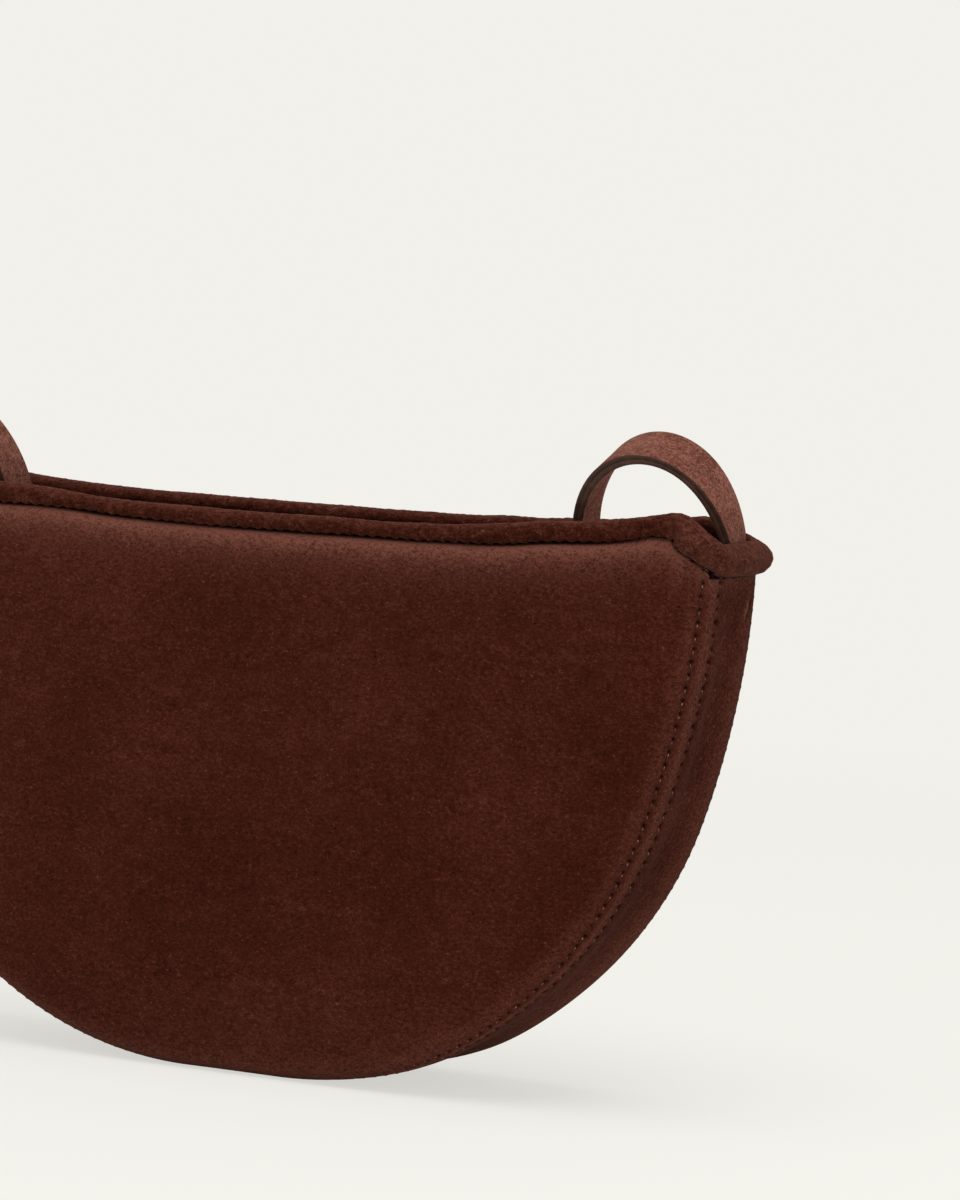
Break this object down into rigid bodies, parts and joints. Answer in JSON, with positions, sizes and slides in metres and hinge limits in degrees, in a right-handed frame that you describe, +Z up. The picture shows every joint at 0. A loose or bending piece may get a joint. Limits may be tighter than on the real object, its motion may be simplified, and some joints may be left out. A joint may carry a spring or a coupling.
{
  "type": "half moon bag",
  "caption": "Suede half moon shoulder bag with an open bound mouth, a wide gusset with topstitched seams, a magnetic snap inside and a flat strap tucked into the mouth.",
  "frame": {"origin": "on the ground under the middle of the bag", "axes": "+X along the mouth, -Y out of the front panel, +Z up"},
  "size_m": [0.2876, 0.0488, 0.1838],
  "materials": {
    "suede": "brushed nap, matt dark red brown",
    "strap_suede": "brushed nap, lighter from the light falling on it, painted dark edges",
    "interlining": "bonded fibre board",
    "lining": "cotton twill",
    "snap_metal": "antique plated"
  },
  "bodies": {
    "bag": {"front_panel": "suede", "back_panel": "suede", "gusset": "suede", "mouth_binding": "suede", "strap_tucked_run": "strap_suede", "right_strap_tail": "strap_suede", "left_strap_tail": "strap_suede", "right_anchor_patch": "strap_suede", "left_anchor_patch": "strap_suede", "front_interlining": "interlining", "back_interlining": "interlining", "gusset_interlining": "interlining", "front_lining": "lining", "back_lining": "lining", "gusset_lining": "lining", "slip_pocket": "lining", "snap_socket": "snap_metal", "snap_socket_rivet": "snap_metal", "snap_stud": "snap_metal", "snap_stud_rivet": "snap_metal"},
    "right_arch": {"right_strap_arch": "strap_suede"},
    "left_arch": {"left_strap_arch": "strap_suede"}
  },
  "joints": [
    {"name": "right_arch_lean", "type": "hinge", "parent": "bag", "child": "right_arch", "pos_m": [0.1158, 0, 0.1595], "axis": [1, 0, 0], "range_deg": [-50, 20], "stiffness_Nm_per_rad": 0.01},
    {"name": "left_arch_lean", "type": "hinge", "parent": "bag", "child": "left_arch", "pos_m": [-0.1158, 0, 0.1595], "axis": [1, 0, 0], "range_deg": [-50, 20], "stiffness_Nm_per_rad": 0.01}
  ]
}
